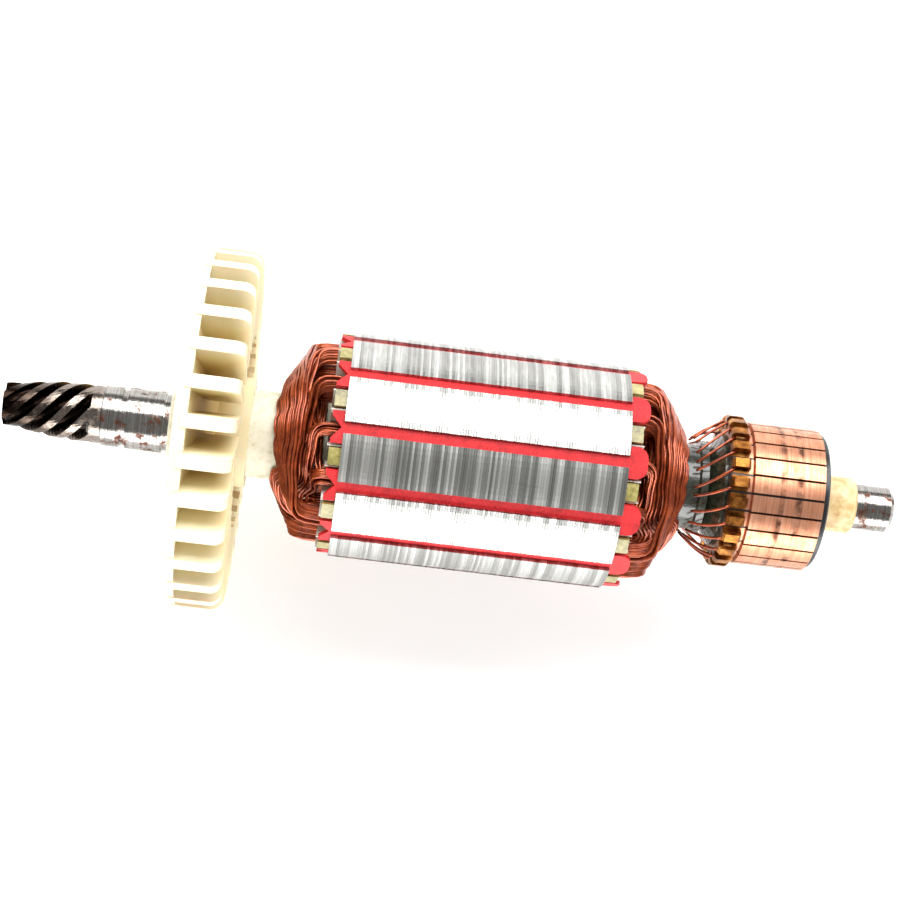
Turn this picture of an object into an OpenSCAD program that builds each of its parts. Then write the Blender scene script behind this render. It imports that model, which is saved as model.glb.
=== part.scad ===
// Armature of a small universal motor: shaft with a cut helical pinion, cooling fan, laminated core,
// twelve coils, hook commutator. Millimetres. The shaft axis is X, the pinion points to -X, the origin is
// the middle of the drive-end bearing seat.

/* [Shaft] */
// Length of the toothed end, tip to the end of the cutter run-out
teeth_len = 16.9; // [12:0.1:24]
// Length of the plain neck between the teeth and the land
neck_len = 2; // [1:0.1:5]
// Diameter over the teeth where they are full
pinion_d = 11.2; // [10.4:0.1:11.6]
// Diameter over the teeth at the tapered tip
pinion_tip_d = 8.3; // [7.6:0.1:9.6]
// Diameter at the root of the teeth
pinion_root_d = 6.6; // [5.6:0.1:7.2]
// Number of helical teeth
teeth = 6; // [5:1:8]
// Axial length of one full turn of a tooth
helix_lead = 27.6; // [22:0.1:40]
// Length of the land in front of the bearing seat
land_len = 3.65; // [2:0.05:6]
// Diameter of the land, a sliding fit for the bearing
land_d = 11.9; // [11.7:0.05:11.95]
// Width of the retaining-ring groove
clip_groove_w = 1.1; // [0.8:0.1:1.6]
// Diameter at the bottom of the retaining-ring groove
clip_groove_d = 10.9; // [10:0.1:11.4]
// Diameter of the drive-end bearing seat
drive_seat_d = 12; // [12:0.1:13]
// Length of the drive-end bearing seat
drive_seat_len = 7; // [6:0.5:10]
// Diameter of the short collar behind the bearing seat
collar_d = 11.1; // [10.2:0.1:11.8]
// Length of the collar between the bearing seat and the drive sleeve
collar_len = 1.3; // [0.6:0.1:3]
// Diameter of the shaft under the drive sleeve
shaft_d = 10; // [9.2:0.1:10.8]
// Diameter of the shaft under the insulating tube
tube_shaft_d = 9.6; // [9.5:0.1:9.9]
// Diameter of the commutator-end bearing seat
comm_seat_d = 9; // [7.5:0.1:9.2]
// Length of the commutator-end bearing seat
comm_seat_len = 7.75; // [6:0.25:12]
// Chamfer on the commutator end of the shaft
end_chamfer = 0.8; // [0.3:0.1:1.2]
// Length of the cutter's run-out at the end of the teeth
runout_len = 4.4; // [2:0.1:6]

/* [Insulating sleeves] */
// Diameter of the drive sleeve where the fan sits on it
fan_seat_d = 14; // [13:0.1:16]
// How far the drive sleeve stands out in front of the fan
sleeve_lip_len = 2.95; // [1:0.05:5]
// Diameter of the drive sleeve between fan and winding
drive_sleeve_d = 17; // [16:0.1:18]
// Length of the wide part of the drive sleeve, fan hub to end plate
drive_sleeve_len = 15.45; // [14:0.05:20]
// Outer diameter of the insulating tube through core and commutator
tube_d = 11; // [10.4:0.1:12]
// Length of the tube past the commutator
tube_end_len = 7.65; // [4:0.05:12]
// Chamfer on the ends of the sleeves
sleeve_chamfer = 0.4; // [0.2:0.1:0.6]
// Diameter of the neck sleeve inside the commutator-end winding
neck_sleeve_d = 16.8; // [14:0.1:17]
// Smallest diameter of the bound neck between winding and commutator
neck_d = 18.6; // [17.6:0.1:20]

/* [Fan] */
// Outer diameter over the blades
fan_d = 70; // [60:0.5:80]
// Diameter of the back disc
fan_disc_d = 69.5; // [59:0.5:79.5]
// Thickness of the back disc at its rim
fan_disc_t = 2.4; // [1.6:0.1:3.4]
// Width of the flat rim of the back disc
fan_rim_w = 4; // [2:0.5:8]
// Rise of the back disc from rim to hub
fan_dish = 4; // [1:0.1:6]
// Axial width of the fan, disc face to blade edge
fan_w = 11.3; // [9:0.1:14]
// Number of blades
fan_blades = 30; // [20:1:34]
// Blade thickness at the tip
blade_tip_t = 2.6; // [1.8:0.1:3.2]
// Blade thickness at the inner edge
blade_root_t = 1.8; // [1.2:0.1:2.4]
// Radius of the blades' inner edges
blade_inner_r = 19; // [15:0.5:24]
// Lean of each blade against the radius, in degrees
blade_lean = 5.1; // [0:0.1:10]
// Rounding of the blades' outer corner
blade_corner_r = 2.2; // [1:0.1:3.5]
// Diameter of the hub
fan_hub_d = 21.4; // [19:0.1:26]
// Length of the hub, disc face to hub face
fan_hub_len = 12.55; // [11.6:0.05:16]

/* [Core] */
// Diameter of the laminated core
core_d = 44; // [43:0.5:50]
// Length of the laminated core
core_len = 53.5; // [40:0.5:70]
// Number of slots; the winding is laid out for twelve
slots = 12;
// Width of the slot openings
slot_mouth_w = 2.3; // [1.8:0.1:3]
// Thickness of the tooth tips at the slot openings
tooth_tip_t = 0.75; // [0.5:0.05:1.2]
// Width of the tooth bodies
tooth_w = 3.6; // [3:0.1:4.2]
// Radius of the slot floors
slot_floor_r = 12.1; // [11.8:0.1:12.6]
// Thickness of the end plates
end_plate_t = 2.3; // [1.5:0.1:3]
// Width of the end plates' teeth
end_plate_tooth_w = 3.3; // [2.6:0.1:3.6]
// How far the end plates' teeth stay below the core's surface
end_plate_drop = 0.5; // [0.2:0.1:1]
// Thickness of the slot liners
liner_t = 0.25; // [0.15:0.05:0.35]
// How far the slot liners stand out of the core
liner_out = 2.7; // [2.4:0.1:3.2]
// Thickness of the slot wedges
wedge_t = 0.8; // [0.5:0.05:1]
// Width of the slot wedges
wedge_w = 6.1; // [5:0.1:6.4]
// Overhang of the wedges' forked ends, drive end
wedge_fork_out = 2.3; // [1:0.1:3]
// Depth of the notch in the wedges' forked ends
wedge_notch = 1.9; // [1:0.1:2.2]
// Overhang of the wedges' rounded ends, commutator end
wedge_tab_out = 3.6; // [2:0.1:4.5]

/* [Winding] */
// Thickness of a coil band where the bands lie on each other
band_t = 1.5; // [1.2:0.05:1.55]
// Width of a coil band beside the sleeve
band_w = 2.7; // [2.2:0.1:3]
// Width of the two bands that were wound last
last_band_w = 8.4; // [3:0.1:8.8]
// Slope of the last bands, which lie on the shoulder of the winding, in degrees
last_tilt = 21; // [0:1:24]
// How far the middle of the last bands stands off the bands below
last_lift = 0.7; // [0.5:0.1:1.6]
// Axial pitch of the bands lying on each other, drive end
layer_pitch_drive = 1.75; // [1.7:0.05:2]
// Axial pitch of the bands lying on each other, commutator end
layer_pitch_comm = 1.8; // [1.7:0.05:2]
// Length of the bound neck and the lead cone, winding to hooks
neck_run = 4.7; // [4:0.1:8]
// Length of the bound neck where it is cylindrical
neck_band = 1.4; // [1:0.1:2]
// Diameter of the lead wires
lead_d = 0.9; // [0.5:0.1:1.1]

/* [Commutator] */
// Diameter of the brush track
comm_d = 28; // [26:0.1:30]
// Length of the brush track
comm_track_len = 13.75; // [10:0.25:18]
// Number of bars
bars = 24; // [16:1:28]
// Width of the undercut between bars
undercut_w = 0.45; // [0.3:0.05:0.7]
// Depth of the undercut between bars
undercut_h = 0.9; // [0.5:0.1:1.5]
// Radial height of a copper bar
bar_h = 3; // [2:0.1:4]
// Step from the brush track down to the shelf under the hooks
hook_shelf = 0.8; // [0.5:0.1:1.2]
// Width of the hooks
hook_w = 1.8; // [1.2:0.1:2.2]
// Thickness of the hooks
hook_t = 0.9; // [0.6:0.1:1.2]
// Length of the hooks
hook_len = 3.9; // [3:0.1:5]
// Diameter over the hooks
hook_d = 29.9; // [29:0.1:32]
// How far the moulding stands out past the bars
moulding_out = 1.2; // [0.5:0.1:3]
// Diameter of the moulding's end ring
moulding_ring_d = 26.6; // [24:0.1:27.6]

/* [Hidden] */
$fn = 96;
// A joint's overlap, a cut's overrun, and the room between parts that slide into each other
small = 0.01;
past = 1;
slip = 0.05;
// Turn of the fan, the core and the commutator on the shaft
fan_phase = 88.7;
slot_phase = 81.4;
bar_phase = 97;
tooth_phase = 128;

// Stations along the shaft
seat_start = -drive_seat_len / 2;
seat_end = drive_seat_len / 2;
groove_start = seat_start - clip_groove_w;
land_start = groove_start - land_len;
teeth_end = land_start - neck_len;
tip = teeth_end - teeth_len;
sleeve_start = seat_end + collar_len;
fan_start = sleeve_start + sleeve_lip_len;
hub_end = fan_start + fan_hub_len;
plate_start = hub_end + drive_sleeve_len;
core_start = plate_start + end_plate_t;
core_end = core_start + core_len;
core_mid = (core_start + core_end) / 2;
plate_end = core_end + end_plate_t;

// Winding layout
slot_pitch = 360 / 12;
coil_span = 5 * slot_pitch;
coil_steps = 6;
last_centre = slot_phase - slot_pitch + coil_span / 2 - 2 * slot_pitch;
wedge_top = core_d / 2 - tooth_tip_t - slip;
wedge_bottom = wedge_top - wedge_t;
side_gap = 0.15;
side_depth = (wedge_bottom - side_gap - slot_floor_r - liner_t - 2 * side_gap) / 2;
top_side_r = wedge_bottom - side_gap - side_depth / 2;
low_side_r = slot_floor_r + liner_t + side_gap + side_depth / 2;
seat_gap = 0.3;
exit_out = max(liner_out, end_plate_t) + seat_gap;
first_out = exit_out + seat_gap + band_t / 2;
// How far a wire runs along its turn while it rises out of a low or a top slot side
low_rise = 3.7;
top_rise = 4;
tilt_rise = last_band_w / 2 * sin(last_tilt);
comm_reach = first_out + (coil_steps - 1) * layer_pitch_comm + last_lift + tilt_rise + band_t / 2;

// Commutator stations
neck_start = core_end + comm_reach + seat_gap;
hook_start = neck_start + neck_run;
track_start = hook_start + hook_len + 0.7;
track_end = track_start + comm_track_len;
moulding_end = track_end + moulding_out;
tube_end = moulding_end + tube_end_len;
shaft_end = tube_end + comm_seat_len;
bar_pitch = 360 / bars;
bar_angle = bar_pitch - undercut_w / (comm_d / 2) * 180 / PI;
bar_foot_r = comm_d / 2 - bar_h;
bar_inset = 0.3;

// ---- helpers ----

// A two-digit number for node names
function two_digits(n) = n < 10 ? str("0", n) : str(n);

// Turns a shape drawn along Z so that Z becomes X
module along_x() {
    rotate([0, 90, 0]) children();
}

// Revolves a profile of [radius, station] points about the shaft axis
module turned(profile) {
    along_x() rotate_extrude() polygon(profile);
}

// Places a shape at an angle round the axis; its +Z becomes the outward direction
module at_angle(angle) {
    rotate([angle - 90, 0, 0]) children();
}

// The unit vector that points outward at an angle round the axis
function outward(angle) = [0, cos(angle), sin(angle)];

// Skins closed rings of points into one solid
module skin(rings, closed) {
    count = len(rings[0]);
    last = closed ? len(rings) : len(rings) - 1;
    points = [for (ring = rings) each ring];
    walls = [
        for (i = [0 : last - 1], k = [0 : count - 1])
            let (j = (i + 1) % len(rings), m = (k + 1) % count)
                each [
                    [i * count + k, j * count + m, i * count + m],
                    [i * count + k, j * count + k, j * count + m]
                ]
    ];
    caps = closed ? [] : [
        [for (k = [0 : count - 1]) k],
        [for (k = [count - 1 : -1 : 0]) (len(rings) - 1) * count + k]
    ];
    polyhedron(points, concat(walls, caps));
}

// ---- shaft and pinion ----

tooth_points = 10;
pinion_rings = 26;
tooth_x = [0, 2.5, 5.8, 10.5, 13.5];
tooth_r = [pinion_tip_d / 2, pinion_tip_d / 2 + 0.15, pinion_d / 2 - 0.7, pinion_d / 2 - 0.1, pinion_d / 2];

// Radius over the teeth at a distance from the tip
function crest_r(x) = lookup(x, [for (i = [0 : len(tooth_x) - 1]) [tooth_x[i], tooth_r[i]]]);

// Depth of the tooth spaces, which the cutter leaves on an arc
function space_depth(x) =
    let (
        left = teeth_len - x,
        share = left >= runout_len ? 1 : sqrt(max(0, 1 - pow(1 - left / runout_len, 2)))
    )
        (crest_r(x) - pinion_root_d / 2) * share;

// Depth across one tooth pitch, 0 on the crest and 1 in the middle of the space
function space_shape(t) =
    let (edge = 0.2, q = (abs(t - 0.5) < 0.5 - edge) ? 1 - abs(t - 0.5) / (0.5 - edge) : 0)
        q <= 0 ? 0 : sqrt(1 - pow(1 - min(1, q * 1.25), 2));

// One cross-section of the toothed end
function pinion_ring(x) = [
    for (i = [0 : teeth * tooth_points - 1])
        let (
            t = (i % tooth_points) / tooth_points,
            turn = tooth_phase + 360 * i / (teeth * tooth_points) - 360 * x / helix_lead,
            r = crest_r(x) - space_depth(x) * space_shape(t)
        )
            [tip + x, r * cos(turn), r * sin(turn)]
];

module pinion() {
    inside = 0.6;
    rings = [
        for (i = [0 : pinion_rings])
            pinion_ring(teeth_len * i / pinion_rings)
    ];
    overlap_ring = [for (p = rings[pinion_rings]) [teeth_end + inside, p[1] * 0.99, p[2] * 0.99]];
    skin(concat(rings, [overlap_ring]), false);
}

module shaft() {
    color("dimgray") {
        pinion();
        turned([
            [0, teeth_end - small], [pinion_d / 2 + small, teeth_end - small],
            [pinion_d / 2 + small, land_start], [land_d / 2, land_start + 0.2],
            [land_d / 2, groove_start], [clip_groove_d / 2, groove_start],
            [clip_groove_d / 2, seat_start], [drive_seat_d / 2, seat_start],
            [drive_seat_d / 2, seat_end], [collar_d / 2, seat_end],
            [collar_d / 2, sleeve_start], [shaft_d / 2, sleeve_start],
            [shaft_d / 2, plate_start], [tube_shaft_d / 2, plate_start],
            [tube_shaft_d / 2, tube_end], [comm_seat_d / 2, tube_end],
            [comm_seat_d / 2, shaft_end - end_chamfer],
            [comm_seat_d / 2 - end_chamfer, shaft_end], [0, shaft_end]
        ]);
    }
}

// ---- sleeves ----

module drive_sleeve() {
    color("ivory")
        turned([
            [shaft_d / 2, sleeve_start], [fan_seat_d / 2 - sleeve_chamfer, sleeve_start],
            [fan_seat_d / 2, sleeve_start + sleeve_chamfer], [fan_seat_d / 2, hub_end],
            [drive_sleeve_d / 2, hub_end], [drive_sleeve_d / 2, plate_start],
            [shaft_d / 2, plate_start]
        ]);
}

module shaft_tube() {
    color("cornsilk")
        turned([
            [tube_shaft_d / 2, plate_start], [tube_d / 2, plate_start],
            [tube_d / 2, tube_end - sleeve_chamfer], [tube_d / 2 - sleeve_chamfer, tube_end],
            [tube_shaft_d / 2, tube_end]
        ]);
}

module neck_sleeve() {
    cone_start_r = neck_d / 2 - 2 * lead_d - seat_gap;
    foot_rim = 0.6;
    color("#3a3a30")
        turned([
            [tube_d / 2, plate_end], [neck_sleeve_d / 2, plate_end],
            [neck_sleeve_d / 2, neck_start - seat_gap], [neck_d / 2, neck_start],
            [neck_d / 2, neck_start + neck_band], [cone_start_r, neck_start + neck_band],
            [bar_foot_r, hook_start - foot_rim], [bar_foot_r, hook_start], [tube_d / 2, hook_start]
        ]);
}

// ---- fan ----

// Outline of one blade seen along the shaft, its tip centred on +X of the drawing
module blade_outline() {
    tip_r = fan_d / 2 + past;
    root = [blade_inner_r * cos(blade_lean), -blade_inner_r * sin(blade_lean)];
    polygon([
        [tip_r, -blade_tip_t / 2], [tip_r, blade_tip_t / 2],
        root + [0, blade_root_t / 2], root - [0, blade_root_t / 2]
    ]);
}

// The ring-shaped room that the blades fill
module blade_room() {
    corner = [fan_d / 2 - blade_corner_r, fan_start + fan_w - blade_corner_r];
    along_x() rotate_extrude() {
        polygon([
            [blade_inner_r - past, fan_start + fan_disc_t / 2], [fan_d / 2, fan_start + fan_disc_t / 2],
            [fan_d / 2, corner[1]], corner, [corner[0], fan_start + fan_w],
            [blade_inner_r - past, fan_start + fan_w]
        ]);
        intersection() {
            translate(corner) circle(r = blade_corner_r);
            translate(corner - [small, small]) square(blade_corner_r + past);
        }
    }
}

module fan() {
    color("#e9dcb8") {
        turned([
            [fan_seat_d / 2, fan_start], [fan_disc_d / 2, fan_start],
            [fan_disc_d / 2, fan_start + fan_disc_t], [fan_disc_d / 2 - fan_rim_w, fan_start + fan_disc_t],
            [fan_hub_d / 2, fan_start + fan_disc_t + fan_dish],
            [fan_hub_d / 2, hub_end], [fan_seat_d / 2, hub_end]
        ]);
        intersection() {
            blade_room();
            for (i = [0 : fan_blades - 1])
                translate([fan_start + fan_disc_t / 2, 0, 0]) rotate([fan_phase + i * 360 / fan_blades, 0, 0])
                    multmatrix([[0, 0, 1, 0], [1, 0, 0, 0], [0, 1, 0, 0], [0, 0, 0, 1]])
                        linear_extrude(fan_w) blade_outline();
        }
    }
}

// ---- core and its insulation ----

tooth_tan = tan(slot_pitch / 2);

// Half the width of a slot between the tooth bodies, at a height above the axis
function slot_half(h, tooth, inset) = h * tooth_tan - (tooth / 2 + inset) / cos(slot_pitch / 2);

// Section of one slot below the tooth tips, made smaller all round by an inset
module slot_section(tooth, top, inset) {
    floor_h = slot_floor_r + inset;
    low = slot_half(floor_h, tooth, inset);
    chamfer = 0.45;
    polygon([
        [-slot_half(top, tooth, inset), top], [slot_half(top, tooth, inset), top],
        [slot_half(floor_h + chamfer, tooth, inset), floor_h + chamfer], [low - chamfer, floor_h],
        [chamfer - low, floor_h], [-slot_half(floor_h + chamfer, tooth, inset), floor_h + chamfer]
    ]);
}

// Extrudes a slot drawing ([across, outward]) along the shaft at one slot
module in_slot(number, start, end) {
    at_angle(slot_phase + number * slot_pitch) translate([start, 0, 0])
        multmatrix([[0, 0, 1, 0], [1, 0, 0, 0], [0, 1, 0, 0], [0, 0, 0, 1]])
            linear_extrude(end - start) children();
}

module core() {
    color("silver") difference() {
        translate([core_start, 0, 0]) along_x() cylinder(h = core_len, d = core_d, $fn = 144);
        translate([core_start - past, 0, 0]) along_x() cylinder(h = core_len + 2 * past, d = tube_d);
        for (i = [0 : slots - 1]) in_slot(i, core_start - past, core_end + past) {
            slot_section(tooth_w, core_d / 2 - tooth_tip_t, 0);
            translate([-slot_mouth_w / 2, core_d / 2 - tooth_tip_t - past])
                square([slot_mouth_w, tooth_tip_t + 2 * past]);
        }
    }
}

module end_plate(start) {
    plate_r = core_d / 2 - end_plate_drop;
    color("#a39a5c") difference() {
        translate([start, 0, 0]) along_x() cylinder(h = end_plate_t, r = plate_r);
        translate([start - past, 0, 0]) along_x() cylinder(h = end_plate_t + 2 * past, d = tube_d);
        for (i = [0 : slots - 1]) in_slot(i, start - past, start + end_plate_t + past)
            slot_section(end_plate_tooth_w, core_d / 2 + past, 0);
    }
}

module slot_liners() {
    liner_top = wedge_bottom - slip;
    color("white") for (i = [0 : slots - 1]) difference() {
        in_slot(i, core_start - liner_out, core_end + liner_out) slot_section(tooth_w, liner_top, slip);
        in_slot(i, core_start - liner_out - past, core_end + liner_out + past)
            slot_section(tooth_w, liner_top + past, slip + liner_t);
    }
}

// Outline of a slot wedge: forked at the drive end, rounded at the commutator end
module wedge_outline() {
    half = wedge_w / 2;
    fork = core_start - wedge_fork_out;
    tab = core_end + wedge_tab_out;
    prong_w = 0.9;
    round_r = min(half - prong_w, wedge_tab_out);
    round_steps = 4;
    arc = [for (i = [0 : round_steps]) round_r * [sin(90 * i / round_steps), cos(90 * i / round_steps)]];
    middle = [tab - round_r, half - round_r];
    polygon(concat(
        [[fork, -half], [fork, prong_w - half], [fork + wedge_notch, 0], [fork, half - prong_w], [fork, half]],
        [for (p = arc) middle + p],
        [for (i = [round_steps : -1 : 0]) [middle[0] + arc[i][0], -middle[1] - arc[i][1]]]
    ));
}

module slot_wedge(number) {
    color("#c81e20") at_angle(slot_phase + number * slot_pitch)
        translate([0, 0, wedge_bottom]) linear_extrude(wedge_t) wedge_outline();
}

// ---- winding ----

// The winding order: coils 1 to 6 are wound one after the other, each a slot further round and a layer further
// out, and coils 7 to 12 at the same time on the opposite side.
function coil_step(coil) = coil % coil_steps;
function coil_centre(coil) =
    last_centre + (coil_steps - 1 - coil_step(coil)) * slot_pitch + (coil >= coil_steps ? 180 : 0);

function is_last(coil) = coil_step(coil) == coil_steps - 1;
function is_top(coil, side) = side > 0 ? is_last(coil) : coil_step(coil) > 0;

function band_half_w(coil) = (is_last(coil) ? last_band_w : band_w) / 2;
function nose_r(coil) =
    drive_sleeve_d / 2 + seat_gap + band_half_w(coil) * (is_last(coil) ? cos(last_tilt) : 1);

// A unit vector
function unit(v) = v / norm(v);

// The centre line of half an end turn, from the slot (way = 0) to the nose (way = 1).
// Gives [angle from the coil's centre, radius, height out of the core, how far it has turned into the band].
function half_turn(coil, side, way, pitch) =
    let (
        slot_r = is_top(coil, side) ? top_side_r : low_side_r,
        nose = nose_r(coil),
        straight = sqrt(slot_r * slot_r - nose * nose),
        touch = coil_span / 2 - acos(nose / slot_r),
        whole = straight + nose * touch * PI / 180,
        rise = is_top(coil, side) ? top_rise : low_rise,
        rising = 0.56,
        w = min(1, way / rising) * 90,
        along = way < rising ? rise * (1 - cos(w)) : rise + (whole - rise) * (way - rising) / (1 - rising),
        angle = along < straight
            ? touch + atan((straight - along) / nose)
            : touch - (along - straight) / nose * 180 / PI,
        radius = along < straight ? nose / cos(angle - touch) : nose,
        raised = is_last(coil) ? last_lift : 0,
        full = first_out + coil_step(coil) * pitch + raised,
        start = exit_out + (is_top(coil, side) ? 1 : 0),
        height = start + (full - start) * sin(w)
    )
        [side * angle, radius, height, w / 90];

half_points = 9;

// The whole centre line of one end turn, [angle, radius, height, turned, slot side radius]
function end_turn(coil, pitch) = concat(
    [for (i = [0 : half_points]) half_turn(coil, -1, i / half_points, pitch)],
    [for (i = [half_points - 1 : -1 : 0]) half_turn(coil, 1, i / half_points, pitch)]
);

// One ring of a coil's section round a point of its path
function band_section(coil, spot, path_dir, flat_dir, end_dir, side) =
    let (
        turned_in = spot[3],
        top = is_top(coil, side),
        angle = coil_centre(coil) + spot[0],
        radial = outward(angle),
        normal = [0, flat_dir[2] * side_sign(radial, flat_dir), -flat_dir[1] * side_sign(radial, flat_dir)],
        mixed = unit(radial * (1 - turned_in) + normal * turned_in),
        across = unit(mixed - path_dir * (mixed * path_dir)),
        thick = cross(path_dir, across),
        tilt = is_last(coil) ? last_tilt * turned_in : 0,
        toward_end = thick * [end_dir, 0, 0] > 0 ? 1 : -1,
        wide_dir = across * cos(tilt) - thick * toward_end * sin(tilt),
        thick_dir = cross(path_dir, wide_dir),
        half_w = side_depth / 2 * (1 - turned_in) + band_half_w(coil) * turned_in,
        slot_w = slot_half((top ? top_side_r : low_side_r) - side_depth / 4, tooth_w, liner_t + side_gap),
        half_t = slot_w * (1 - turned_in) + band_t / 2 * turned_in * norm([path_dir[1], path_dir[2]])
    )
        [for (corner = section_corners) spot_point(coil, spot, end_dir)
            + wide_dir * half_w * corner[0] + thick_dir * half_t * corner[1]];

// +1 or -1, so that the flat normal of a path points away from the axis
function side_sign(radial, flat_dir) = radial * [0, flat_dir[2], -flat_dir[1]] >= 0 ? 1 : -1;

section_corners = [
    [1, 0.5], [0.5, 1], [-0.5, 1], [-1, 0.5], [-1, -0.5], [-0.5, -1], [0.5, -1], [1, -0.5]
];

// A path spot in space; end_dir is -1 at the drive end and 1 at the commutator end
function spot_point(coil, spot, end_dir) =
    [end_dir < 0 ? core_start - spot[2] : core_end + spot[2], 0, 0]
        + outward(coil_centre(coil) + spot[0]) * spot[1];

// The rings of one end turn
function turn_rings(coil, end_dir) =
    let (
        spots = end_turn(coil, end_dir < 0 ? layer_pitch_drive : layer_pitch_comm),
        points = [for (spot = spots) spot_point(coil, spot, end_dir)],
        count = len(points)
    )
        [for (i = [0 : count - 1])
            let (
                before = points[max(0, i - 1)],
                after = points[min(count - 1, i + 1)],
                flat_dir = unit([0, after[1] - before[1], after[2] - before[2]]),
                dir = i == 0 ? [end_dir, 0, 0] : i == count - 1 ? [-end_dir, 0, 0] : unit(after - before)
            )
                band_section(coil, spots[i], -end_dir * dir, flat_dir, end_dir, i < count / 2 ? -1 : 1)
        ];

module coil(number) {
    drive = turn_rings(number, -1);
    comm = turn_rings(number, 1);
    back = [for (i = [len(comm) - 1 : -1 : 0]) comm[i]];
    color("#8a3d16") skin(concat(drive, back), true);
}

// ---- leads ----

module lead_wires() {
    sweep_angle = 22;
    start_r = neck_d / 2 - lead_d / 2 - 2 * slip;
    end_r = comm_d / 2 - hook_shelf - 2 * slip;
    color("#a8501e") for (i = [0 : bars - 1]) {
        end_angle = bar_phase + i * bar_pitch;
        start = [neck_start + neck_band + lead_d / 2, 0, 0] + outward(end_angle + sweep_angle) * start_r;
        finish = [hook_start - lead_d / 2, 0, 0] + outward(end_angle) * end_r;
        run = finish - start;
        translate(start) rotate([0, acos(run[2] / norm(run)), atan2(run[1], run[0])])
            cylinder(h = norm(run), d = lead_d, $fn = 16);
    }
}

// ---- commutator ----

module commutator_moulding() {
    fin_top = comm_d / 2 - undercut_h;
    fin_foot = bar_foot_r - past;
    ring_chamfer = 0.3;
    color("#1c1c1e") {
        turned([
            [tube_d / 2, hook_start], [bar_foot_r - slip, hook_start], [bar_foot_r - slip, track_end],
            [moulding_ring_d / 2, track_end], [moulding_ring_d / 2, moulding_end - ring_chamfer],
            [moulding_ring_d / 2 - ring_chamfer, moulding_end], [tube_d / 2, moulding_end]
        ]);
        for (i = [0 : bars - 1]) at_angle(bar_phase + (i + 0.5) * bar_pitch)
            translate([hook_start + bar_inset, slip - undercut_w / 2, fin_foot])
                cube([track_end + small - hook_start - bar_inset, undercut_w - 2 * slip, fin_top - fin_foot]);
    }
}

// One copper bar with its hook
module commutator_bar(number) {
    angle = bar_phase + number * bar_pitch;
    shelf_r = comm_d / 2 - hook_shelf;
    top_r = hook_d / 2;
    along = hook_len - bar_inset;
    bend = 0.5;
    tip_t = 0.6;
    tip_bite = 0.2;
    color("#c98259") {
        rotate([angle + 90 - bar_angle / 2, 0, 0]) along_x() rotate_extrude(angle = bar_angle) polygon([
            [bar_foot_r, hook_start + bar_inset], [shelf_r, hook_start + bar_inset],
            [shelf_r, track_start - bar_inset], [comm_d / 2, track_start], [comm_d / 2, track_end],
            [bar_foot_r, track_end]
        ]);
        at_angle(angle) translate([hook_start, hook_w / 2, 0]) rotate([90, 0, 0]) linear_extrude(hook_w)
            polygon([
                [0, shelf_r - hook_t], [0, top_r - bend], [bend, top_r], [along - bend, top_r],
                [along, top_r - bend], [along, shelf_r - tip_bite], [along - tip_t, shelf_r - tip_bite],
                [along - tip_t, top_r - hook_t], [hook_t, top_r - hook_t], [hook_t, shelf_r - hook_t]
            ]);
    }
}

// ---- nodes ----

shaft();
drive_sleeve();
shaft_tube();
neck_sleeve();
fan();
core();
end_plate(plate_start);  // end_plate_drive
end_plate(core_end);  // end_plate_commutator
slot_liners();
for (i = [0 : slots - 1])
    slot_wedge(i);
for (i = [0 : 2 * coil_steps - 1])
    coil(i);
lead_wires();
commutator_moulding();
for (i = [0 : bars - 1])
    commutator_bar(i);
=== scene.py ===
# %% [markdown]
# # A motor armature
# This script dresses the armature of a small universal motor. The measured solids come first, as a fixed frame.
# They stay where they are. Real wires, real core sheets and worked materials are then added on top of them.

# %% Load the frame
import math
import random

import bpy
import numpy as np
from mathutils import Matrix, Vector


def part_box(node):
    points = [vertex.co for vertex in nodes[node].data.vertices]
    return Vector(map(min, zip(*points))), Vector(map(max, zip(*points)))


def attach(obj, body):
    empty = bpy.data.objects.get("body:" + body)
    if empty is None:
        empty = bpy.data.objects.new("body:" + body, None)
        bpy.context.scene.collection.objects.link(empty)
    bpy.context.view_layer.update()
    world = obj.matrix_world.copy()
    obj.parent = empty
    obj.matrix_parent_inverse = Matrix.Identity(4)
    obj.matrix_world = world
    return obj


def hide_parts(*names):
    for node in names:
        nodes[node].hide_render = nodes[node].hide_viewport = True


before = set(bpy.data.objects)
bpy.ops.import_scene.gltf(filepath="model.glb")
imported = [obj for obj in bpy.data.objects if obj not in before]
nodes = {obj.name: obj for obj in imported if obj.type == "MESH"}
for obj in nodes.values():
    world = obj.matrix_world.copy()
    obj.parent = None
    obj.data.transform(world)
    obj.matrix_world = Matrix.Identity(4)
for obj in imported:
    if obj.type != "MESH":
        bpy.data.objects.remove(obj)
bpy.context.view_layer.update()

MM = 0.001
print("nodes in the frame:", len(nodes))

# %% [markdown]
# The shaft axis is X, with the pinion at -X and the commutator at +X. Everything on an armature is set out by its
# distance along the shaft, its distance from the axis and its angle round it. One helper turns those three
# numbers into a point, and the main stations are read from the solids themselves, so nothing is placed by eye.

# %% Stations along the shaft
def low(node):
    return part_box(node)[0][0]


def high(node):
    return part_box(node)[1][0]


def on_rotor(station, radius, angle_deg):
    """A point in metres: station along X, radius from the axis, angle from +Y towards +Z."""
    angle = math.radians(angle_deg)
    return Vector((station, radius * math.cos(angle), radius * math.sin(angle)))


CORE_START, CORE_END = low("core"), high("core")
CORE_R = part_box("core")[1][2]
SLEEVE_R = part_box("drive_sleeve")[1][2]
NECK_START = high("coil_06")
HOOK_START = low("commutator_bar_01")
print(f"core from {CORE_START / MM:.1f} to {CORE_END / MM:.1f} mm, radius {CORE_R / MM:.1f} mm")

# %% [markdown]
# ## Materials
# A colour is written as an sRGB hex value, as a designer would pick it, and Blender shades in linear light. One
# function turns one into the other. Another adds a shader node, sets its values and joins its inputs.

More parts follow.
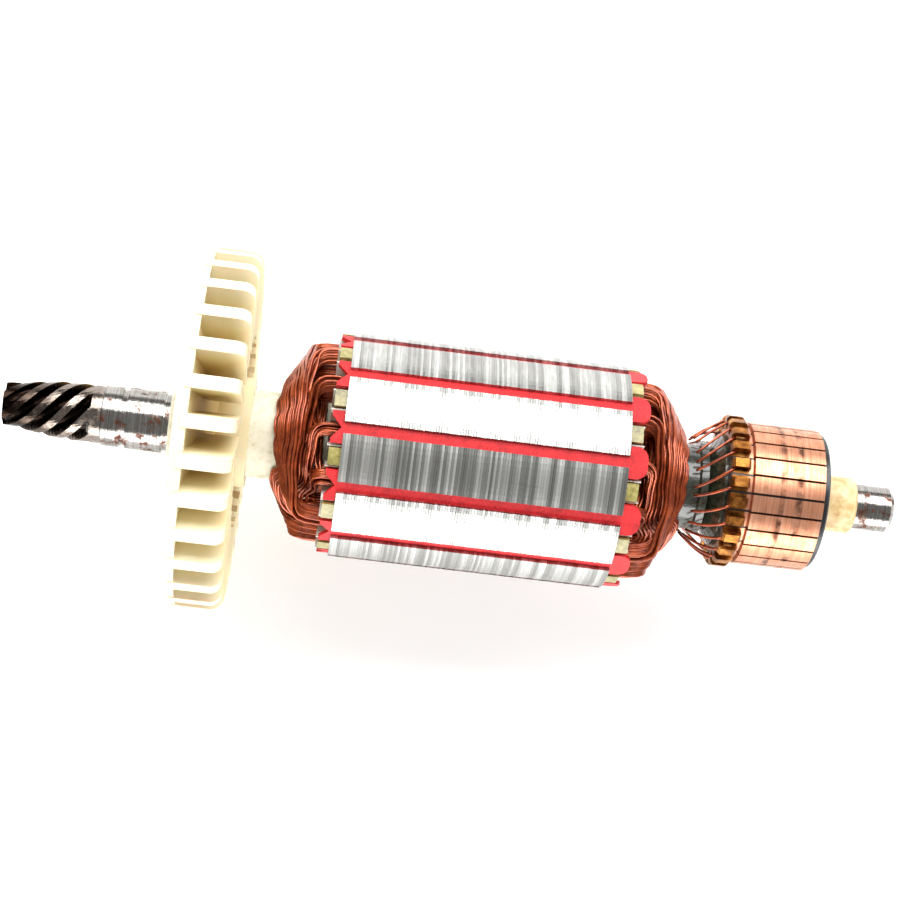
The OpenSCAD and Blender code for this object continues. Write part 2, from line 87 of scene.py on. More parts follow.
# %% Colour and node helpers
def linear(hex_colour):
    channels = [int(hex_colour[i : i + 2], 16) / 255 for i in (1, 3, 5)]
    return [c / 12.92 if c <= 0.04045 else ((c + 0.055) / 1.055) ** 2.4 for c in channels] + [1.0]


def add_node(tree, kind, inputs=None, stops=None, **settings):
    """Adds one shader node and returns its first output in use.
    An input is a hex colour, a value or the output that feeds it; stops are a colour ramp's (place, colour)."""
    made = tree.nodes.new(kind)
    for key, value in settings.items():
        setattr(made, key, value)
    for key, value in (inputs or {}).items():
        if isinstance(value, bpy.types.NodeSocket):
            tree.links.new(value, made.inputs[key])
        else:
            made.inputs[key].default_value = linear(value) if isinstance(value, str) else value
    if stops:
        elements = made.color_ramp.elements
        while len(elements) < len(stops):
            elements.new(0.5)
        for element, (place, colour) in zip(elements, stops):
            element.position = place
            element.color = linear(colour) if isinstance(colour, str) else (colour, colour, colour, 1)
    return next(socket for socket in made.outputs if socket.enabled)


def new_material(name, roughness, metallic=0.0, **values):
    """A Principled material and its tree; the look of each finish is then built on the shader's sockets."""
    material = bpy.data.materials.new(name)
    material.use_nodes = True
    shader = material.node_tree.nodes["Principled BSDF"]
    shader.inputs["Roughness"].default_value = roughness
    shader.inputs["Metallic"].default_value = metallic
    for key, value in values.items():
        shader.inputs[key.replace("_", " ")].default_value = value
    return material, material.node_tree, shader


def finish_surface(tree, shader, colour, roughness=None, relief=None):
    """Joins a colour, and where they vary a roughness and a relief, to the shader."""
    tree.links.new(colour, shader.inputs["Base Color"])
    if roughness is not None:
        tree.links.new(roughness, shader.inputs["Roughness"])
    if relief is not None:
        tree.links.new(relief, shader.inputs["Normal"])


def dress(node_names, material):
    """Gives CAD nodes a material."""
    for name in node_names:
        mesh = nodes[name].data
        mesh.materials.clear()
        mesh.materials.append(material)

# %% [markdown]
# Most finishes depend on where a spot is on the rotor: rust sits at one station, soot runs round the brush track,
# and painted shade darkens the fan towards the hub. So one helper gives a material the rotor's own coordinates in
# millimetres: the position, the station and the distance from the axis. Another makes a band between two values,
# for marks that run round the rotor.

# %% Rotor coordinates and bands
NOISE_ROUGHNESS = 0.55


def rotor_coordinates(tree):
    """Returns the position in mm, the station and the radius."""
    place = tree.nodes.new("ShaderNodeTexCoord").outputs["Object"]
    position = add_node(tree, "ShaderNodeVectorMath", {0: place, 1: (1000, 1000, 1000)}, operation="MULTIPLY")
    station = add_node(tree, "ShaderNodeSeparateXYZ", {0: position})
    across = add_node(tree, "ShaderNodeVectorMath", {0: position, 1: (0, 1, 1)}, operation="MULTIPLY")
    radius = add_node(tree, "ShaderNodeVectorMath", {0: across}, operation="LENGTH")
    return position, station, radius


def between(tree, source, start, end, soft):
    """1 where the source lies between two values, with soft edges."""
    rise = add_node(tree, "ShaderNodeMapRange", {0: source, 1: start - soft, 2: start + soft},
                    interpolation_type="SMOOTHSTEP")
    fall = add_node(tree, "ShaderNodeMapRange", {0: source, 1: end - soft, 2: end + soft, 3: 1, 4: 0},
                    interpolation_type="SMOOTHSTEP")
    return add_node(tree, "ShaderNodeMath", {0: rise, 1: fall}, operation="MULTIPLY")


def grain(tree, position, per_mm, detail, stretch=(1, 1, 1), roughness=NOISE_ROUGHNESS):
    """An even grain with so many features to a millimetre, drawn out along the axes where asked."""
    drawn = add_node(tree, "ShaderNodeVectorMath", {0: position, 1: stretch}, operation="MULTIPLY")
    return add_node(tree, "ShaderNodeTexNoise",
                    {"Vector": drawn, "Scale": per_mm, "Detail": detail, "Roughness": roughness})


def stain(tree, colour, source, limits, amount, stain_colour):
    """Lays a stain colour over a colour, from nothing at the first limit to the amount at the second."""
    share = add_node(tree, "ShaderNodeValToRGB", {0: source}, stops=[(limits[0], 0.0), (limits[1], amount)])
    return add_node(tree, "ShaderNodeMix", {0: share, 6: colour, 7: stain_colour}, data_type="RGBA")

# %% [markdown]
# ### Enamelled copper wire
# Winding wire is drawn copper under a few hundredths of a millimetre of clear red-brown enamel. To the eye it is
# a metal seen through a varnish: deep red-brown where it turns away, bright orange along the highlight, near
# black between the wires. A copper metal in a dark tone under a smooth clear coat gives just that.

# %% Wire material
def enamelled_wire():
    material, tree, shader = new_material("copper wire under red-brown enamel", 0.34, metallic=0.75,
                                          Coat_Weight=0.6, Coat_Roughness=0.12)
    position, station, radius = rotor_coordinates(tree)
    streak = grain(tree, position, 0.5, 2)
    grime = grain(tree, position, 1.6, 5)
    colour = add_node(tree, "ShaderNodeValToRGB", {0: streak}, stops=[(0.3, "#7a2e12"), (0.72, "#b85428")])
    colour = stain(tree, colour, grime, (0.58, 0.78), 0.55, "#1a0a04")
    gloss = add_node(tree, "ShaderNodeValToRGB", {0: grime}, stops=[(0.3, 0.26), (0.8, 0.5)])
    finish_surface(tree, shader, colour, gloss)
    return material


wire_enamel = enamelled_wire()
print("made:", wire_enamel.name)

# %% [markdown]
# ### Electrical steel
# The core is stacked from sheets half a millimetre thick. Its outside was skimmed on a lathe, so every sheet edge
# is bare, slightly differently smeared and differently bright. The tone is drawn from the sheet's own number,
# which is the station divided by the thickness.

# %% Core material
SHEET = 0.5


def sheet_steel():
    material, tree, shader = new_material("skimmed electrical steel sheets", 0.34, metallic=1.0)
    position, station, radius = rotor_coordinates(tree)
    sheets_along = add_node(tree, "ShaderNodeMath", {0: station, 1: SHEET}, operation="DIVIDE")
    number = add_node(tree, "ShaderNodeMath", {0: sheets_along}, operation="FLOOR")
    tone = add_node(tree, "ShaderNodeTexWhiteNoise", {"W": number}, noise_dimensions="1D")
    smear = grain(tree, position, 0.9, 4, stretch=(2.2, 0.35, 0.35))
    scratch = grain(tree, position, 0.35, 6, stretch=(0.25, 4, 4))
    colour = add_node(tree, "ShaderNodeValToRGB", {0: tone},
                      stops=[(0.0, "#8f8f8c"), (0.5, "#b4b4b1"), (1.0, "#cfcfcc")])
    colour = stain(tree, colour, smear, (0.35, 0.75), 0.35, "#77746e")
    colour = stain(tree, colour, scratch, (0.66, 0.76), 0.35, "#5d5a55")
    own_gloss = add_node(tree, "ShaderNodeMath", {0: tone, 1: 0.14}, operation="MULTIPLY")
    smeared = add_node(tree, "ShaderNodeMath", {0: smear, 1: 0.28}, operation="MULTIPLY")
    gloss = add_node(tree, "ShaderNodeMath", {0: own_gloss, 1: smeared}, operation="ADD")
    gloss = add_node(tree, "ShaderNodeMath", {0: gloss, 1: 0.14}, operation="ADD")
    finish_surface(tree, shader, colour, gloss)
    return material


steel_sheets = sheet_steel()
print("made:", steel_sheets.name)

# %% [markdown]
# ### Turned and hardened shaft
# The shaft is carbon steel. Its seats were ground, which leaves hair lines round them; the teeth were milled,
# hardened and run in grease, which leaves dark brown patches, and their colour is painted darker towards the
# roots, near black in the spaces, as painted shade; and it has rusted in patches.

# %% Shaft material
TEETH_SPAN = (-40, -8.4)
TOOTH_DEPTHS = (3.2, 5.6)


def shaft_steel():
    material, tree, shader = new_material("ground and hardened shaft steel", 0.3, metallic=1.0)
    position, station, radius = rotor_coordinates(tree)
    lines = grain(tree, position, 5.0, 3, stretch=(1, 0.02, 0.02))
    blotches = grain(tree, position, 0.42, 6, roughness=0.65)
    fine = grain(tree, position, 2.6, 5, roughness=0.7)
    bright = add_node(tree, "ShaderNodeValToRGB", {0: lines}, stops=[(0.3, "#6f6c68"), (0.7, "#a9a6a1")])
    rust = add_node(tree, "ShaderNodeValToRGB", {0: fine},
                    stops=[(0.3, "#2c140a"), (0.55, "#5a2c14"), (0.75, "#8a4a22")])
    rusted = add_node(tree, "ShaderNodeValToRGB", {0: blotches}, stops=[(0.52, 0.0), (0.62, 0.9)])
    colour = add_node(tree, "ShaderNodeMix", {0: rusted, 6: bright, 7: rust}, data_type="RGBA")
    toothed = between(tree, station, *TEETH_SPAN, 0.3)
    # Painted shade: on the teeth the colour darkens with depth, from grey at the crest to near black at the root;
    # grease patches lie over it.
    depth = add_node(tree, "ShaderNodeMapRange", {0: radius, 1: TOOTH_DEPTHS[0], 2: TOOTH_DEPTHS[1]})
    painted_root_shade = add_node(tree, "ShaderNodeValToRGB", {0: depth},
                     stops=[(0.0, "#0b0908"), (0.45, "#241c17"), (0.8, "#5b5048"), (1.0, "#8c8178")])
    root_shade_and_grease = stain(tree, painted_root_shade, fine, (0.45, 0.7), 0.8, "#2a1a11")
    colour = add_node(tree, "ShaderNodeMix", {0: toothed, 6: colour, 7: root_shade_and_grease}, data_type="RGBA")
    gloss = add_node(tree, "ShaderNodeMix", {0: rusted, 6: "#505050", 7: "#c8c8c8"}, data_type="RGBA")
    shallow = add_node(tree, "ShaderNodeMath", {0: lines, 1: 0.4}, operation="MULTIPLY")
    height = add_node(tree, "ShaderNodeMath", {0: fine, 1: shallow}, operation="ADD")
    relief = add_node(tree, "ShaderNodeBump", {"Strength": 0.5, "Distance": 0.05 * MM, "Height": height})
    finish_surface(tree, shader, colour, gloss, relief)
    return material


dress(["shaft"], shaft_steel())

# %% [markdown]
# ### Moulded nylon fan
# The fan is glass-filled nylon in its natural ivory. Nylon lets a little light in, so edges glow. Its colour is
# painted yellow-brown near the hub and deep between the blades, and pale ivory at the rim: painted shade in the
# corners.

# %% Fan material
FAN_START = low("fan") / MM
FAN_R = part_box("fan")[1][2] / MM
BLADE_FOOT_R = 20.0


def aged_nylon():
    material, tree, shader = new_material("moulded ivory nylon", 0.42, Subsurface_Weight=0.25,
                                          Subsurface_Scale=0.0015)
    position, station, radius = rotor_coordinates(tree)
    mottled = grain(tree, position, 0.12, 5)
    specks = grain(tree, position, 1.8, 5)
    # Painted shade: the colour runs from yellow-brown near the hub and deep between the blades to pale ivory at
    # the rim and on the side towards the core.
    outward = add_node(tree, "ShaderNodeMapRange", {0: radius, 1: BLADE_FOOT_R, 2: FAN_R - 0.6})
    forward = add_node(tree, "ShaderNodeMapRange", {0: station, 1: FAN_START + 2.0, 2: FAN_START + 11.0})
    forward = add_node(tree, "ShaderNodeMath", {0: forward, 1: 0.8}, operation="MULTIPLY")
    painted_light_share = add_node(tree, "ShaderNodeMath", {0: outward, 1: forward}, operation="MAXIMUM")
    colour = add_node(tree, "ShaderNodeValToRGB", {0: painted_light_share},
                      stops=[(0.0, "#b3914a"), (0.45, "#cdb377"), (0.8, "#e2d5ab"), (1.0, "#ebe3c4")])
    colour = stain(tree, colour, mottled, (0.4, 0.75), 0.3, "#cfc096")
    colour = stain(tree, colour, specks, (0.72, 0.8), 0.35, "#8f7a52")
    relief = add_node(tree, "ShaderNodeBump", {"Strength": 0.35, "Distance": 0.04 * MM, "Height": specks})
    finish_surface(tree, shader, colour, None, relief)
    return material


dress(["fan"], aged_nylon())

# %% [markdown]
# ### Insulation
# Red vulcanised fibre closes the slots, olive varnished board covers the ends of the core, white polyester film
# lines the slots, and off-white and cream mouldings carry it all on the shaft.

# %% Insulation materials
def mottled_board(name, tones, per_mm, roughness, depth_mm, **values):
    """A surface with a fine mottle; tones run from the dark to the light of it."""
    material, tree, shader = new_material(name, roughness, **values)
    position, station, radius = rotor_coordinates(tree)
    fine = grain(tree, position, per_mm, 5, roughness=0.65)
    broad = grain(tree, position, per_mm / 9, 3)
    near = add_node(tree, "ShaderNodeMath", {0: fine, 1: 0.6}, operation="MULTIPLY")
    far = add_node(tree, "ShaderNodeMath", {0: broad, 1: 0.4}, operation="MULTIPLY")
    blend = add_node(tree, "ShaderNodeMath", {0: near, 1: far}, operation="ADD")
    places = [0.35 + 0.3 * i / (len(tones) - 1) for i in range(len(tones))]
    colour = add_node(tree, "ShaderNodeValToRGB", {0: blend}, stops=list(zip(places, tones)))
    relief = add_node(tree, "ShaderNodeBump", {"Strength": 0.4, "Distance": depth_mm * MM, "Height": fine})
    finish_surface(tree, shader, colour, None, relief)
    return material


red_fibre = mottled_board("red vulcanised fibre", ["#8c1216", "#c4191f", "#d92a2e"], 3.0, 0.5, 0.06,
                          Specular_IOR_Level=0.35)
olive_board = mottled_board("olive varnished board", ["#5e5628", "#8d8349", "#aba069"], 1.2, 0.35, 0.05,
                            Coat_Weight=0.3)
film = mottled_board("white polyester film", ["#b9b7ae", "#dcdad2", "#f0eee8"], 0.6, 0.3, 0.03, Coat_Weight=0.4)
off_white = mottled_board("off-white moulded sleeve", ["#b3a988", "#d3cdb6", "#dedac8"], 0.7, 0.5, 0.05)
cream_tube = mottled_board("cream insulating tube", ["#a87c3c", "#cdb07c", "#dfcda4"], 0.6, 0.5, 0.05)
phenolic = mottled_board("black phenolic resin", ["#0c0c0d", "#17171a", "#232327"], 2.0, 0.32, 0.03)
varnish = mottled_board("dark varnished binding", ["#0d0d09", "#24261b", "#3b3e2e"], 0.9, 0.22, 0.2,
                        Coat_Weight=0.6)
dress([n for n in nodes if n.startswith("slot_wedge")], red_fibre)
dress(["end_plate_drive", "end_plate_commutator"], olive_board)
dress(["slot_liners"], film)
dress(["drive_sleeve"], off_white)
dress(["shaft_tube"], cream_tube)
dress(["commutator_moulding"], phenolic)
dress(["neck_sleeve"], varnish)

# %% [markdown]
# ### Commutator copper
# The bars are hard-drawn copper, turned true on the shaft. The brushes burnish two bands round the track and leave
# soot at their edges, and the hooks at one end are browned by the heat of fusing and by varnish.

# %% Commutator material
TRACK_START = 117.15
SOOT_BANDS = ((122.2, 123.3), (125.5, 126.7))


def burnished_copper():
    material, tree, shader = new_material("turned copper with brush soot", 0.36, metallic=0.9)
    position, station, radius = rotor_coordinates(tree)
    lines = grain(tree, position, 4.0, 3, stretch=(1, 0.03, 0.03))
    cloud = grain(tree, position, 0.5, 5)
    colour = add_node(tree, "ShaderNodeValToRGB", {0: lines}, stops=[(0.3, "#b9795a"), (0.7, "#dba283")])
    colour = stain(tree, colour, cloud, (0.45, 0.7), 0.4, "#a65f3f")
    first, second = [between(tree, station, *band, 0.35) for band in SOOT_BANDS]
    soot = add_node(tree, "ShaderNodeMath", {0: first, 1: second}, operation="MAXIMUM")
    uneven = add_node(tree, "ShaderNodeValToRGB", {0: grain(tree, position, 0.35, 5)},
                      stops=[(0.42, 0.0), (0.6, 0.85)])
    soot = add_node(tree, "ShaderNodeMath", {0: soot, 1: uneven}, operation="MULTIPLY")
    colour = add_node(tree, "ShaderNodeMix", {0: soot, 6: colour, 7: "#3a1c14"}, data_type="RGBA")
    hook = between(tree, station, 100, TRACK_START - 1.1, 0.25)
    brown = add_node(tree, "ShaderNodeValToRGB", {0: cloud},
                     stops=[(0.35, "#5a3416"), (0.55, "#9c6228"), (0.7, "#c08a48")])
    colour = add_node(tree, "ShaderNodeMix", {0: hook, 6: colour, 7: brown}, data_type="RGBA")
    gloss = add_node(tree, "ShaderNodeValToRGB", {0: cloud}, stops=[(0.3, 0.28), (0.7, 0.46)])
    relief = add_node(tree, "ShaderNodeBump", {"Strength": 0.4, "Distance": 0.02 * MM, "Height": lines})
    finish_surface(tree, shader, colour, gloss, relief)
    return material


bars = [n for n in nodes if n.startswith("commutator_bar")]
dress(bars, burnished_copper())
print("commutator bars dressed:", len(bars))

# %% [markdown]
# ## Meshes
# Wires and sheets are all made the same way: rings of points, joined by quads. One helper builds such a mesh
# from any number of strands, gives it a material, and fixes it to the rotor.

# %% Mesh helpers
def new_piece(name, points, faces, material, replaced=(), smooth=True):
    mesh = bpy.data.meshes.new(name)
    mesh.from_pydata([tuple(p) for p in points], [], faces)
    mesh.materials.append(material)
    mesh.polygons.foreach_set("use_smooth", [smooth] * len(mesh.polygons))
    mesh.update()
    piece = bpy.data.objects.new(name, mesh)
    bpy.context.scene.collection.objects.link(piece)
    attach(piece, "root")
    if replaced:
        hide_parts(*replaced)
    print(f"{name}: {len(mesh.polygons)} faces")
    return piece


def tube(path, normals, radius, sides, closed, points, faces):
    """Adds a round tube along a path to points and faces; normals are set across the path at each point."""
    path = np.asarray(path, float)
    count = len(path)
    ahead = np.roll(path, -1, axis=0) if closed else np.vstack([path[1:], path[-1:]])
    behind = np.roll(path, 1, axis=0) if closed else np.vstack([path[:1], path[:-1]])
    tangent = ahead - behind
    tangent /= np.linalg.norm(tangent, axis=1)[:, None]
    first = np.asarray(normals, float)
    first = first - tangent * (first * tangent).sum(1)[:, None]
    first /= np.linalg.norm(first, axis=1)[:, None]
    second = np.cross(tangent, first)
    base = len(points)
    for k in range(count):
        for j in range(sides):
            turn = 2 * math.pi * j / sides
            points.append(path[k] + radius * (math.cos(turn) * first[k] + math.sin(turn) * second[k]))
    for k in range(count if closed else count - 1):
        here, there = base + k * sides, base + ((k + 1) % count) * sides
        for j in range(sides):
            m = (j + 1) % sides
            faces.append((here + j, here + m, there + m, there + j))
    if not closed:
        faces.append(tuple(base + j for j in reversed(range(sides))))
        faces.append(tuple(base + (count - 1) * sides + j for j in range(sides)))

# %% [markdown]
# ## The core, sheet by sheet
# Each sheet is a ring with twelve T-shaped teeth. The stack is drawn with the sheets' own small differences: a
# few hundredths of a millimetre of radius, taper and turn from one to the next, and a fine groove between two
# sheets. Those differences are what make a real core glitter in lines.

# %% Core sheets
random.seed(11)
TOOTH_COUNT = 12
SLOT_ANGLE = 81.4
SLOT_MOUTH = 2.3 * MM
TIP = 0.75 * MM
TOOTH_W = 3.6 * MM
SLOT_FLOOR = 12.1 * MM
BORE = 5.5 * MM


def sheet_outline(radius, turn_deg):
    """One sheet's outline as (radius, angle) pairs, tooth after tooth, the outside only."""
    mouth = math.degrees(SLOT_MOUTH / 2 / radius)
    shoulder = radius - TIP
    pitch = 360 / TOOTH_COUNT
    side = math.degrees(math.asin(TOOTH_W / 2 / shoulder))
    root = math.degrees(math.asin(TOOTH_W / 2 / SLOT_FLOOR))
    outline = []
    for tooth in range(TOOTH_COUNT):
        middle = SLOT_ANGLE + (tooth + 0.5) * pitch + turn_deg
        half = pitch / 2 - mouth
        outline.append((SLOT_FLOOR, middle - pitch / 2))
        outline.append((SLOT_FLOOR, middle - root - 1))
        outline.append((shoulder, middle - side))
        outline.append((shoulder, middle - half))
        steps = 8
        for step in range(steps + 1):
            outline.append((radius, middle - half + 2 * half * step / steps))
        outline.append((shoulder, middle + half))
        outline.append((shoulder, middle + side))
        outline.append((SLOT_FLOOR, middle + root + 1))
    return outline


def build_core():
    points, faces = [], []
    sheets = round((CORE_END - CORE_START) / (SHEET * MM))
    thickness = (CORE_END - CORE_START) / sheets
    groove = 0.035 * MM
    rings = []
    for sheet in range(sheets):
        start = CORE_START + sheet * thickness
        proud = random.gauss(0, 0.012) * MM
        taper = random.gauss(0, 0.012) * MM
        turn = random.gauss(0, 0.05)
        top = CORE_R - 0.05 * MM + proud
        rings.append((start, top - groove, turn))
        rings.append((start + 0.05 * MM, top, turn))
        rings.append((start + thickness - 0.05 * MM, top + taper, turn))
        rings.append((start + thickness, top - groove, turn))
    width = len(sheet_outline(CORE_R, 0))
    for station, radius, turn in rings:
        for r, angle in sheet_outline(min(radius, CORE_R), turn):
            points.append(on_rotor(station, r, angle))
    for ring in range(len(rings) - 1):
        for k in range(width):
            m = (k + 1) % width
            a, b = ring * width, (ring + 1) * width
            faces.append((a + k, b + k, b + m, a + m))
    for ring, flip in ((0, False), (len(rings) - 1, True)):
        bore = len(points)
        station = rings[ring][0]
        for r, angle in sheet_outline(CORE_R, rings[ring][2]):
            points.append(on_rotor(station, BORE, angle))
        for k in range(width):
            m = (k + 1) % width
            quad = (ring * width + k, ring * width + m, bore + m, bore + k)
            faces.append(tuple(reversed(quad)) if flip else quad)
    first_bore, last_bore = len(points) - 2 * width, len(points) - width
    for k in range(width):
        m = (k + 1) % width
        faces.append((first_bore + k, first_bore + m, last_bore + m, last_bore + k))
    return new_piece("core_sheets", points, faces, steel_sheets, ["core"], smooth=False)


build_core()

# %% [markdown]
# ## The winding
# Twelve coils lie in the slots, wound in opposite pairs. Each spans five slots, and its end turn runs from its
# slot along a straight line to the sleeve, round it, and straight out to the other slot. A coil wound later lies
# over the ones before it, so its end turn stands further out and spreads wider over the growing dome.
#
# Every wire is drawn by itself. It keeps its own place in the slot, its own distance from the sleeve and its own
# depth in the band, and wanders a little, because hand-fed wire never lies quite straight.

# %% Winding layout
SLOT_PITCH = 30.0
HALF_SPAN = 75.0
STEPS = 6
LAST_CENTRE = 66.4
TOP_SIDE_R, LOW_SIDE_R = 18.0, 14.35
SIDE_DEPTH = 3.5
EXIT = 3.0
WIRE_R = 0.27
FIRST_LIFT = 1.3
HALF_BAND = 0.85
WIRE_SIDES = 7


def coil_step(coil):
    return coil % STEPS


def coil_centre(coil):
    return LAST_CENTRE + (STEPS - 1 - coil_step(coil)) * SLOT_PITCH + (180 if coil >= STEPS else 0)


def is_top(coil, side):
    return coil_step(coil) == STEPS - 1 if side > 0 else coil_step(coil) > 0


def near_zero(angle):
    return (angle + 180) % 360 - 180


def lies_at(coil, angle):
    """1 where an earlier coil's end turn is in the way, fading to 0 where it has gone into its slot."""
    offset = near_zero(angle - coil_centre(coil))
    full, fade = (56, 20) if is_top(coil, offset) else (74, 16)
    amount = max(0.0, min(1.0, (full + fade - abs(offset)) / fade))
    return amount * amount * (3 - 2 * amount)


def layers_under(coil, angle):
    return sum(lies_at(other, angle) for other in range(2 * STEPS) if coil_step(other) < coil_step(coil))

# %% One wire's end turn
def end_turn(coil, across, depth, pitch, spread, wander):
    """One wire's end turn as (angle, radius, height) from slot to slot.
    across runs from 0 at the sleeve to 1 at the band's outer edge, depth from -1 to 1 through the band."""
    step = coil_step(coil)
    centre = coil_centre(coil)
    inner = SLEEVE_R / MM + 0.5
    sides = {}
    for side in (-1, 1):
        top = is_top(coil, side)
        radius = (TOP_SIDE_R if top else LOW_SIDE_R) + (across - 0.5) * (SIDE_DEPTH - 2 * WIRE_R)
        half_gap = (1.55 if top else 0.85) - WIRE_R
        angle = HALF_SPAN + math.degrees(depth * half_gap / radius)
        band = spread if top else min(spread, 3.4)
        rho = min(inner + across * band, radius - 0.5)
        sides[side] = (radius, angle, rho, angle - math.degrees(math.acos(rho / radius)))
    spots = []
    for side in (-1, 1):
        radius, angle, rho, touch = sides[side]
        straight = math.sqrt(radius * radius - rho * rho)
        rise = 0.62 * straight if is_top(coil, side) else 0.45 * straight
        half = []
        for w in (0, 12, 25, 38, 51, 64, 77, 90):
            half.append((rise * (1 - math.cos(math.radians(w))), math.sin(math.radians(w))))
        for extra in (0.35, 0.7):
            half.append((rise + (straight - rise) * extra, 1.0))
        run = []
        for along, lift in half:
            left = straight - along
            run.append((side * (touch + math.degrees(math.atan2(left, rho))), math.hypot(left, rho), lift))
        spots.append(run)
    low_touch, high_touch = -sides[-1][3], sides[1][3]
    arc = []
    steps = 11
    for k in range(steps + 1):
        part = k / steps
        smooth = part * part * (3 - 2 * part)
        turned = low_touch + (high_touch - low_touch) * part
        rho = sides[-1][2] + (sides[1][2] - sides[-1][2]) * smooth
        arc.append((turned, rho, 1.0))
    whole = spots[0] + arc + spots[1][::-1]
    out = []
    for phi, radius, lift in whole:
        theta = centre + phi
        layers = layers_under(coil, theta)
        slope = 0.15 * layers
        past_sleeve = max(0.0, radius * lift + inner * (1 - lift) - inner)
        full = EXIT + FIRST_LIFT + layers * pitch - slope * past_sleeve + depth * HALF_BAND
        sway = wander[0] * math.sin(math.radians(phi) * wander[1] + wander[2]) * lift
        bow = wander[3] * math.sin(math.radians(phi) * wander[4] + wander[5]) * lift
        out.append((theta, max(radius + sway, inner - 0.15), EXIT + (full - EXIT) * lift + bow))
    return out

# %% All the wires of a coil
def wire_places(step):
    """Where a coil's wires lie in its band: (across, depth) pairs, fewer of them deep at the outer edge."""
    columns = 5 + step + (3 if step == STEPS - 1 else 0)
    places = []
    for column in range(columns):
        across = (column + 0.5) / columns
        rows = 4 if across < 0.3 else 3 if across < 0.65 else 2
        for row in range(rows):
            places.append((across, -1 + 2 * (row + 0.5) / rows))
    return places


def build_coil(coil):
    step = coil_step(coil)
    rng = random.Random(100 + coil)
    points, faces = [], []
    spread = 2.6 + 0.95 * step
    for across, depth in wire_places(step):
        across = min(1, max(0, across + rng.gauss(0, 0.03)))
        loops = []
        for end, pitch in ((-1, 2.05), (1, 2.2)):
            wander = (rng.gauss(0, 0.12), rng.uniform(1.5, 3.5), rng.uniform(0, 6.3),
                      rng.gauss(0, 0.12), rng.uniform(1.5, 3.5), rng.uniform(0, 6.3))
            turn = end_turn(coil, across, depth, pitch, spread, wander)
            face = CORE_START if end < 0 else CORE_END
            loops.append([on_rotor(face + end * h * MM, r * MM, theta) for theta, r, h in turn])
        path = loops[0] + loops[1][::-1]
        normals = []
        for loop in loops:
            flat = np.array([(p.y, p.z) for p in loop])
            run = np.gradient(flat, axis=0)
            normal = np.stack([np.zeros(len(run)), run[:, 1], -run[:, 0]], axis=1)
            out = (normal[:, 1:] * flat).sum(1)
            normals.append(normal * np.where(out < 0, -1, 1)[:, None])
        across_path = np.vstack([normals[0], normals[1][::-1]])
        tube([tuple(p) for p in path], across_path, WIRE_R * MM, WIRE_SIDES, True, points, faces)
    node = f"coil_{coil + 1:02d}"
    return new_piece(f"{node}_wires", points, faces, wire_enamel, [node])


for coil in range(2 * STEPS):
    build_coil(coil)

# %% [markdown]
# ## Leads
# From the neck of the winding a wire goes slanting up to each hook and ends at it. They cross the bound neck like
# spokes.

# %% Lead wires
BAR_COUNT = 24
BAR_ANGLE = 97.0


def build_leads():
    rng = random.Random(5)
    points, faces = [], []
    hook_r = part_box("commutator_bar_01")[1][2]
    for bar in range(BAR_COUNT):
        aim = BAR_ANGLE + bar * 360 / BAR_COUNT
        lean = 20 + rng.uniform(-3, 5)
        path = []
        for part in np.linspace(0, 1, 9):
            station = NECK_START - 0.6 * MM + part * (HOOK_START + 0.5 * MM - NECK_START + 0.6 * MM)
            radius = (9.6 + part * 4.2 + 0.35 * math.sin(part * math.pi)) * MM
            path.append(on_rotor(station, radius, aim + lean * (1 - part) + 4 * part))
        normals = [tuple(Vector((0, p.y, p.z)).normalized()) for p in path]
        tube([tuple(p) for p in path], normals, WIRE_R * MM, WIRE_SIDES, False, points, faces)
    return new_piece("lead_strands", points, faces, wire_enamel, ["lead_wires"])


build_leads()

# %% [markdown]
# ## Floor, light and camera
# The rotor hangs just over a pale floor. Two large soft boxes stand above it, one each side of the shaft, so the
# round steel and copper show a bright band on either side of a darker middle. The camera looks nearly straight
# down.

# %% Floor and world
def plain_floor():
    material, tree, shader = new_material("pale studio floor", 0.9)
    position, station, radius = rotor_coordinates(tree)
    ray = tree.nodes.new("ShaderNodeLightPath").outputs
    seen = add_node(tree, "ShaderNodeMath", {0: ray["Is Camera Ray"], 1: ray["Is Glossy Ray"]},
                    operation="MAXIMUM")
    seen = add_node(tree, "ShaderNodeMath", {0: seen, 1: ray["Is Transmission Ray"]}, operation="MAXIMUM")
    shade = add_node(tree, "ShaderNodeValToRGB", {0: grain(tree, position, 0.02, 2)},
                     stops=[(0.4, "#f4f4f4"), (0.6, "#f8f8f8")])
    colour = add_node(tree, "ShaderNodeMix", {0: seen, 6: shade, 7: "#ffffff"}, data_type="RGBA")
    finish_surface(tree, shader, colour)
    return material


def build_floor():
    half = 3.0
    level = -FAN_R * MM - 0.0005
    corners = [(-half, -half, level), (half, -half, level), (half, half, level), (-half, half, level)]
    mesh = bpy.data.meshes.new("floor")
    mesh.from_pydata(corners, [], [(0, 1, 2, 3)])
    mesh.materials.append(plain_floor())
    floor = bpy.data.objects.new("floor", mesh)
    bpy.context.scene.collection.objects.link(floor)


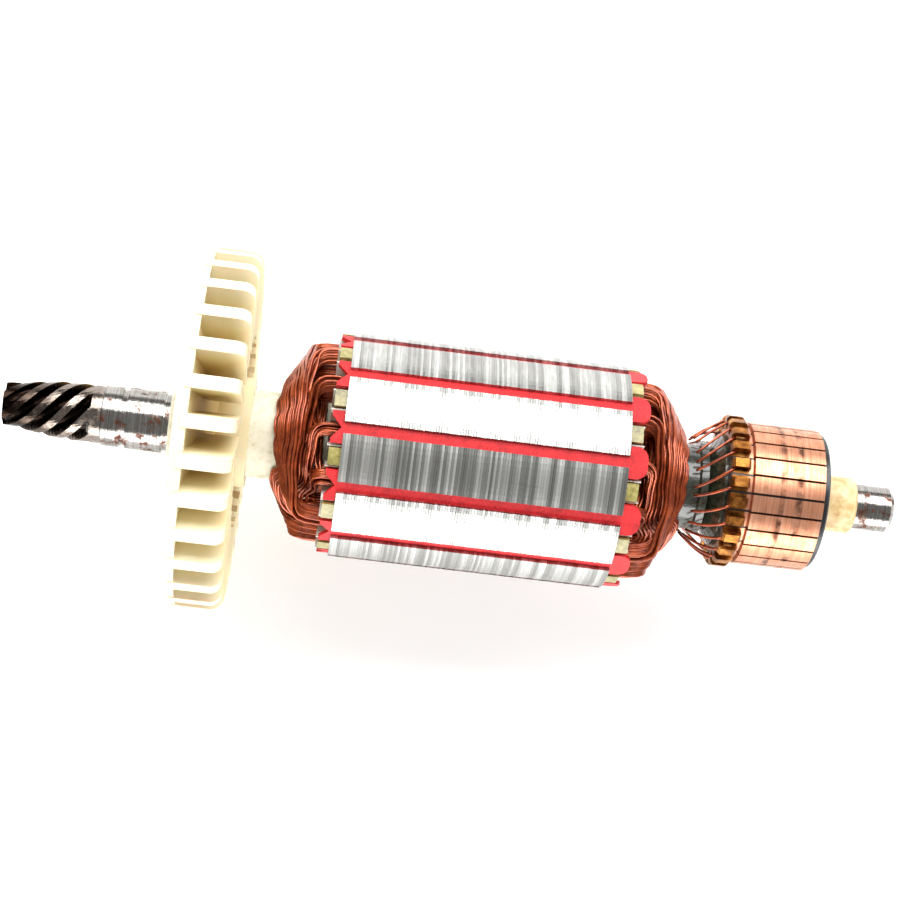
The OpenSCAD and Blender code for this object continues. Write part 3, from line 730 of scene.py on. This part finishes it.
build_floor()
world = bpy.data.worlds.new("studio")
bpy.context.scene.world = world
world.use_nodes = True
world.node_tree.nodes["Background"].inputs["Color"].default_value = linear("#ffffff")
world.node_tree.nodes["Background"].inputs["Strength"].default_value = 0.45

# %% Soft boxes
TARGET = Vector((0.05935, 0.0, 0.0))


def soft_box(name, tilt_deg, distance, width, length, power):
    """An area lamp beside the shaft; the tilt is from straight up, positive towards +Y."""
    lamp = bpy.data.lights.new(name, "AREA")
    lamp.shape = "RECTANGLE"
    lamp.size, lamp.size_y = length, width
    lamp.energy = power
    item = bpy.data.objects.new(name, lamp)
    bpy.context.scene.collection.objects.link(item)
    tilt = math.radians(tilt_deg)
    item.location = TARGET + Vector((0, math.sin(tilt), math.cos(tilt))) * distance
    item.rotation_euler = (-tilt, 0, 0)
    return item


soft_box("box_top", 46, 0.75, 0.55, 1.2, 14)
soft_box("box_bottom", -76, 0.75, 0.5, 1.2, 12)

# %% Camera
LENS_MM = 79.0
DISTANCE = 0.3871
AXIS_TILT = math.radians(3.58)
AXIS_DROP = math.radians(6.95)
SIDE_SHIFT = 0.00139

camera_data = bpy.data.cameras.new("camera")
camera_data.lens = LENS_MM
camera_data.sensor_width = 36
camera_data.clip_start = 0.01
camera = bpy.data.objects.new("camera", camera_data)
bpy.context.scene.collection.objects.link(camera)
forward = Vector((math.sin(AXIS_TILT), 0, -math.cos(AXIS_TILT)))
along = Vector((math.cos(AXIS_TILT), 0, math.sin(AXIS_TILT)))
down_across = Vector((0, -1, 0))
right = math.cos(AXIS_DROP) * along - math.sin(AXIS_DROP) * down_across
up = -(math.sin(AXIS_DROP) * along + math.cos(AXIS_DROP) * down_across)
place = TARGET - down_across * SIDE_SHIFT - forward * DISTANCE
camera.matrix_world = Matrix((
    (right.x, up.x, -forward.x, place.x),
    (right.y, up.y, -forward.y, place.y),
    (right.z, up.z, -forward.z, place.z),
    (0, 0, 0, 1),
))
bpy.context.scene.camera = camera
bpy.context.scene.view_settings.view_transform = "Standard"
